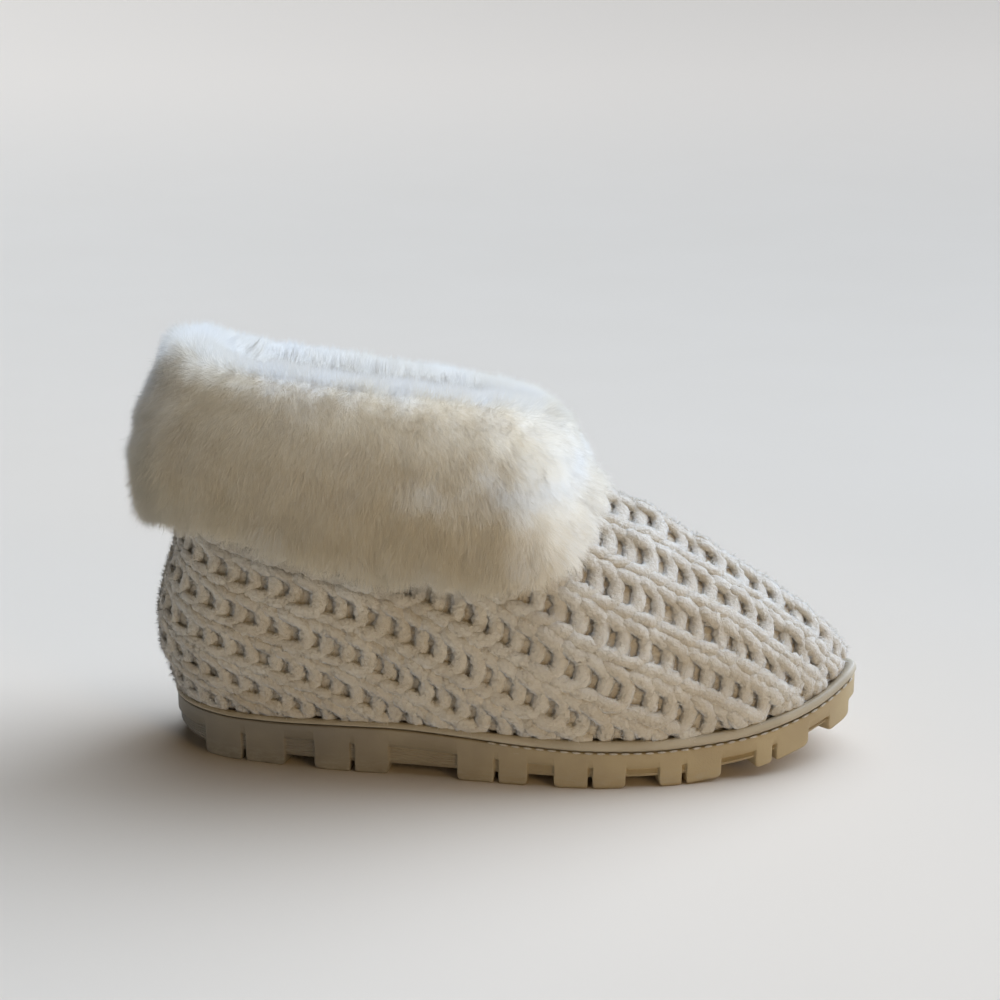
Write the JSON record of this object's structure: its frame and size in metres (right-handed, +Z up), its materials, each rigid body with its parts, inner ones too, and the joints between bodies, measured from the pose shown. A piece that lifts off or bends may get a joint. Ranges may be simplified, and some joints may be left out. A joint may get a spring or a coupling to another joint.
{
  "type": "knit slipper",
  "caption": "Chunky knitted slipper with a pointed toe, a deep fur cuff turned down over its collar, and a lugged outsole with a bead welt.",
  "frame": {"origin": "on the floor, under the middle of the shoe's bounding box", "axes": "+X from the heel to the toe, +Y to the inner side of the foot, +Z up from the floor"},
  "size_m": [0.2775, 0.1096, 0.1569],
  "materials": {
    "outsole": "matt moulded rubber, tan",
    "welt": "matt moulded rubber bead, tan",
    "insole": "short cream pile",
    "upper": "chunky ribbed chenille knit, off-white",
    "cuff": "deep plush fur, cream"
  },
  "bodies": {
    "root": {"outsole": "outsole", "welt": "welt", "insole": "insole", "upper": "upper", "cuff": "cuff"}
  },
  "joints": []
}
